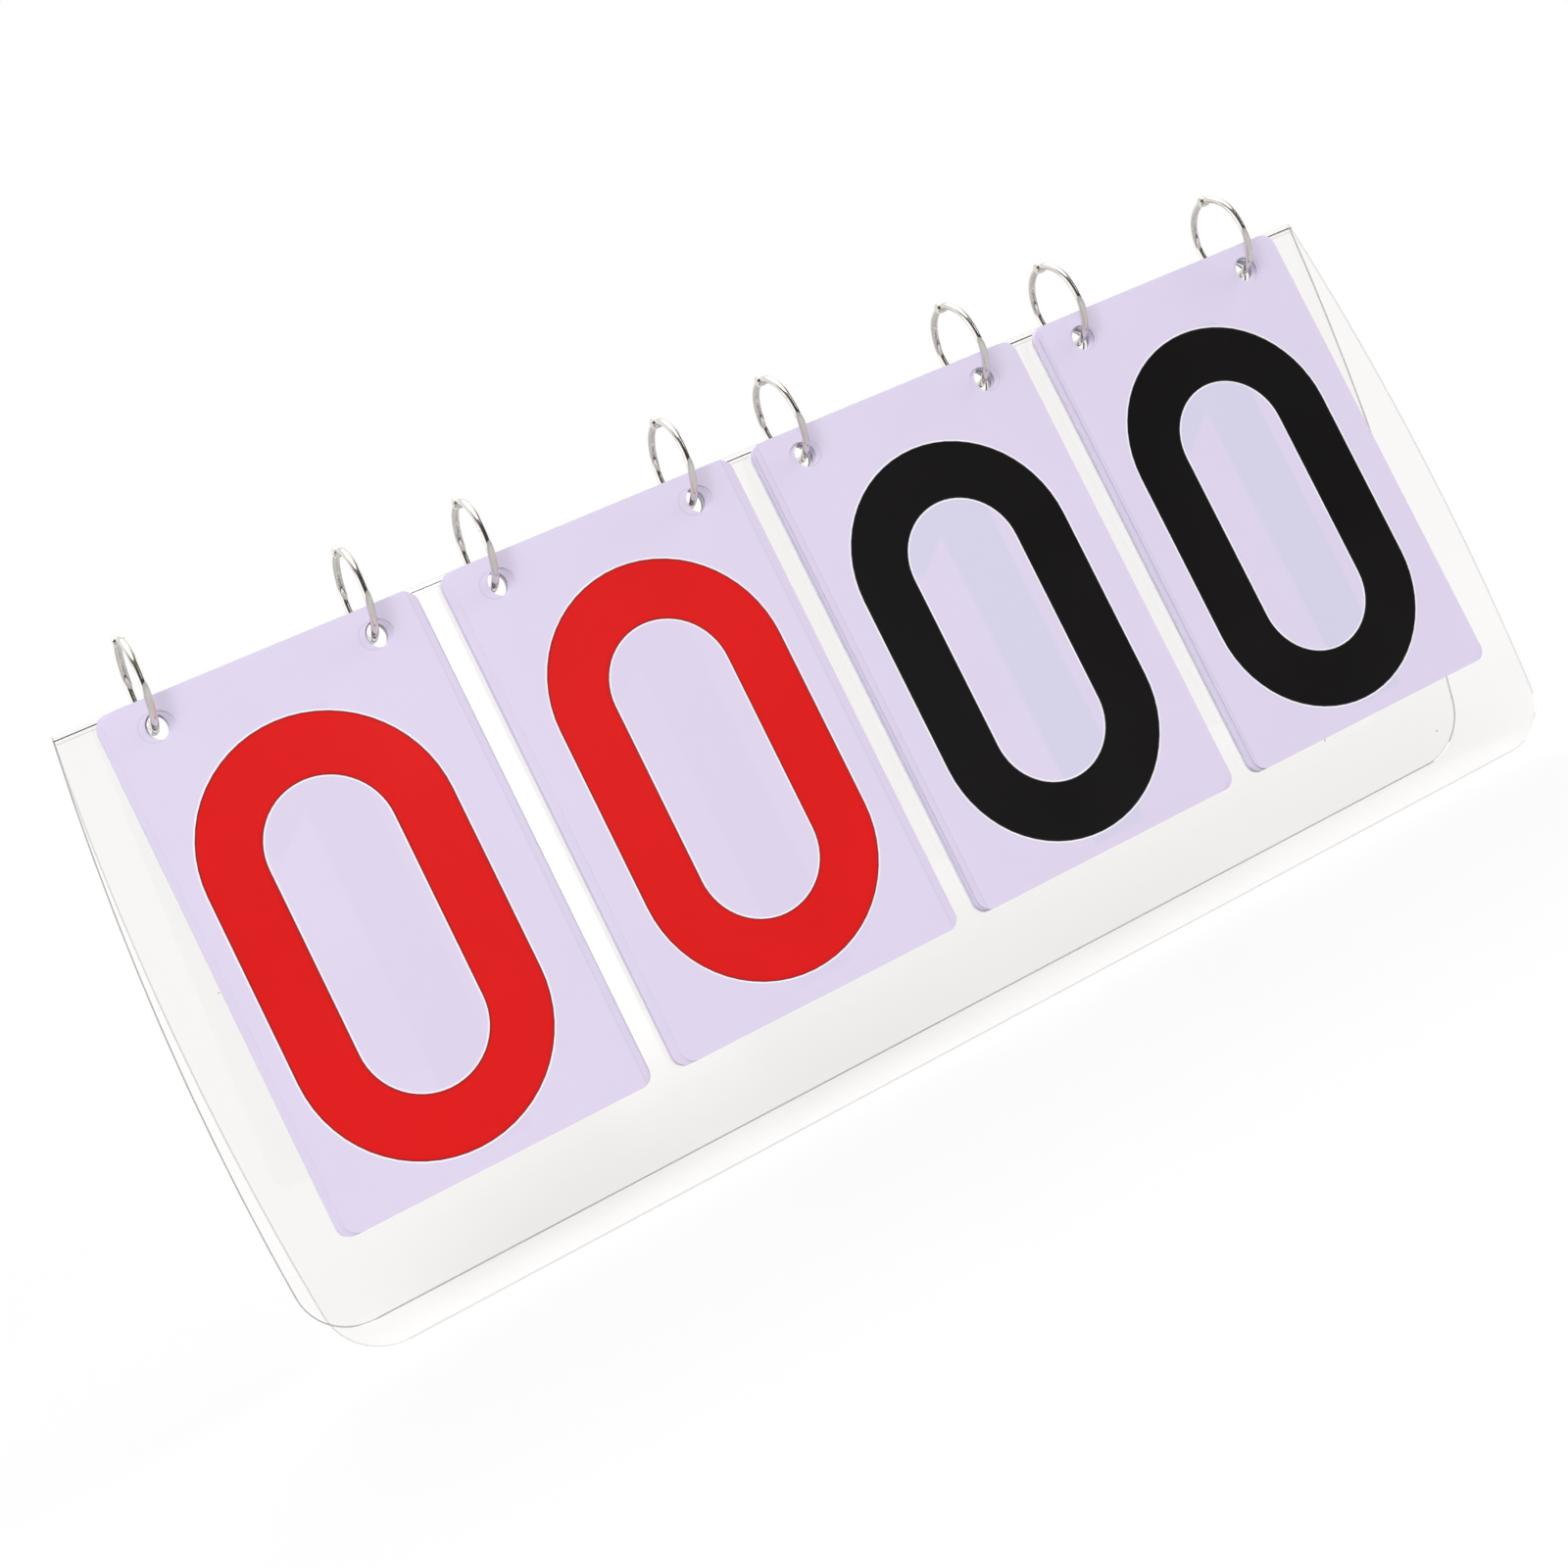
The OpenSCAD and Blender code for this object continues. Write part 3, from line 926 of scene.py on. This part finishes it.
# the two long arcs have their middles far beyond the opposite sides
side_r = ((SHEET_H / 2) ** 2 + SIDE_BOW**2) / (2 * SIDE_BOW)
side_x = side_r - SHEET_W / 2
corner_depth = SHEET_H - CORNER_R
corner_x = math.sqrt((side_r - CORNER_R) ** 2 - (corner_depth - SHEET_H / 2) ** 2) - side_x

edge_inputs = {"Line width": EDGE_LINE_W, "Fold line depth": FOLD_LINE_DEPTH}
edge_group, given, g_out = new_group("sheet edges", edge_inputs, "Mask")
gn, gl = edge_group.nodes, edge_group.links
x, depth = sheet_place(gn, gl)
x = calc(gn, gl, "ABSOLUTE", x)
side_depth = calc(gn, gl, "SUBTRACT", depth, SHEET_H / 2)
from_middle = length_2d(gn, gl, calc(gn, gl, "ADD", x, side_x), side_depth)
to_side = calc(gn, gl, "SUBTRACT", side_r, from_middle)
in_x = calc(gn, gl, "MAXIMUM", calc(gn, gl, "SUBTRACT", x, corner_x), 0.0)
in_x = calc(gn, gl, "MULTIPLY", in_x, calc(gn, gl, "GREATER_THAN", depth, corner_depth))
in_depth = calc(gn, gl, "MAXIMUM", calc(gn, gl, "SUBTRACT", depth, corner_depth), 0.0)
to_corner = calc(gn, gl, "SUBTRACT", CORNER_R, length_2d(gn, gl, in_x, in_depth))
# the eight holes fold onto one: first by stack, then by side
in_stack = calc(gn, gl, "ABSOLUTE", calc(gn, gl, "SUBTRACT", x, STACK_PITCH))
in_stack = calc(gn, gl, "ABSOLUTE", calc(gn, gl, "SUBTRACT", in_stack, STACK_PITCH / 2))
hole_x = calc(gn, gl, "SUBTRACT", in_stack, HOLE_GAP / 2)
hole_depth = calc(gn, gl, "SUBTRACT", depth, HOLE_DROP)
to_hole = calc(gn, gl, "SUBTRACT", length_2d(gn, gl, hole_x, hole_depth), HOLE_R)
nearest = calc(gn, gl, "MINIMUM", calc(gn, gl, "MINIMUM", to_side, to_corner), to_hole)
print("side arc radius", round(side_r, 4))
print("corner middle", round(corner_x, 4), round(corner_depth, 4))

# %% [markdown]
# One more line belongs to the mask: the pressed line where the fold begins. It is drawn a
# little finer than the edges. The distance to the nearest line then turns into the mask, which
# is full for most of the line's width and falls off at its end.

# %% Turn the distance into drawn lines
FOLD_FINER = 0.0002
LINE_SHARPNESS = 3.0
to_fold = calc(gn, gl, "ABSOLUTE", calc(gn, gl, "SUBTRACT", depth, given["Fold line depth"]))
nearest = calc(gn, gl, "MINIMUM", nearest, calc(gn, gl, "ADD", to_fold, FOLD_FINER))
in_widths = calc(gn, gl, "DIVIDE", nearest, given["Line width"])
edge_line = calc(gn, gl, "SUBTRACT", 1.0, in_widths)
edge_line = calc(gn, gl, "MULTIPLY", edge_line, LINE_SHARPNESS)
edge_line = calc(gn, gl, "MINIMUM", calc(gn, gl, "MAXIMUM", edge_line, 0.0), 1.0)
gl.new(edge_line, g_out.inputs["Mask"])
print("the edge mask takes", len(gn), "nodes")

# %% [markdown]
# The tent is one clear PVC sheet. A glass shader on a solid of the sheet's real thickness
# bends and mirrors the light as the real one does. Glass would cast a full shadow, though,
# so for rays that go to a lamp the sheet lets nearly all the light through. The real sheet
# is not quite flat, which a very shallow bump repeats, and a few specks of dust lie on it.

# %% Clear sheet material
CLEAR = (0.990, 0.981, 0.971, 1)
SHEET_DUST = (0.30, 0.29, 0.28, 1)
LIGHT_PASSED = (0.93, 0.93, 0.925, 1)
# the front panel's edge catches the lamps and looks paler than the back panel's
FRONT_EDGE = (0.78, 0.775, 0.765, 1)
BACK_EDGE = (0.42, 0.415, 0.405, 1)
# the pressed line is on the front panel alone, so the back one's lies off the sheet
OFF_THE_SHEET = -1.0


def clear_material(name, edge_colour, fold_line_depth):
    """The clear sheet, with its edge lines in a colour and the pressed line at a depth."""
    mat, tree, shader = principled(name, Transmission_Weight=1.0, IOR=1.50, Metallic=0.0)
    tree_nodes, tree_links = tree.nodes, tree.links
    edges = use_group(tree, edge_group, Line_width=EDGE_LINE_W, Fold_line_depth=fold_line_depth)
    colour = mix_colour(tree, edges, CLEAR, edge_colour)
    dust = use_group(tree, dust_group, Specks_per_metre=55.0, Speck_size=0.02, Share=0.25)
    tree_links.new(mix_colour(tree, dust, colour, SHEET_DUST), shader.inputs["Base Color"])
    smear = use_group(tree, cloud_group, Clouds_per_metre=30.0, Detail=4.0, Low=0.01, High=0.05)
    tree_links.new(smear, shader.inputs["Roughness"])
    waves = use_group(tree, cloud_group, Clouds_per_metre=9.0, Detail=1.0)
    bump(tree, shader, waves, distance=0.0004, strength=0.4)
    window = add(tree_nodes, "ShaderNodeBsdfTransparent", i0=LIGHT_PASSED)
    pick = add(tree_nodes, "ShaderNodeMixShader")
    to_lamp = add(tree_nodes, "ShaderNodeLightPath").outputs["Is Shadow Ray"]
    tree_links.new(to_lamp, pick.inputs[0])
    tree_links.new(shader.outputs[0], pick.inputs[1])
    tree_links.new(window.outputs[0], pick.inputs[2])
    out = next(node for node in tree_nodes if node.type == "OUTPUT_MATERIAL")
    tree_links.new(pick.outputs[0], out.inputs["Surface"])
    return mat


dress("front_panel", clear_material("clear_pvc_front", FRONT_EDGE, FOLD_LINE_DEPTH))
dress("back_panel", clear_material("clear_pvc_back", BACK_EDGE, OFF_THE_SHEET))

# %% [markdown]
# ## Rings
# Book rings are bent from steel wire and plated with nickel, a warm white metal. The plating
# is bright but not a perfect mirror: drawing and bending leave it slightly streaked.

# %% Nickel material
NICKEL_WARM = (0.78, 0.745, 0.70, 1)
NICKEL_DULL = (0.70, 0.665, 0.62, 1)

nickel, tree, shader = principled("nickel_plate", Metallic=1.0)
tint = use_group(tree, cloud_group, Clouds_per_metre=150.0, Detail=2.0)
tree.links.new(mix_colour(tree, tint, NICKEL_WARM, NICKEL_DULL), shader.inputs["Base Color"])
streak = use_group(tree, cloud_group, Clouds_per_metre=300.0, Detail=2.0, Low=0.06, High=0.11)
tree.links.new(streak, shader.inputs["Roughness"])
wear = use_group(tree, cloud_group, Clouds_per_metre=500.0, Detail=2.0)
bump(tree, shader, wear, distance=0.000003, strength=0.3)
half_rings = [name for name in nodes if "_ring_" in name]
for name in half_rings:
    dress(name, nickel)
print("plated", len(half_rings), "half rings")

# %% [markdown]
# ## View
# The Standard view shows a colour as it is written.

# %% Finish
bpy.context.scene.view_settings.view_transform = "Standard"
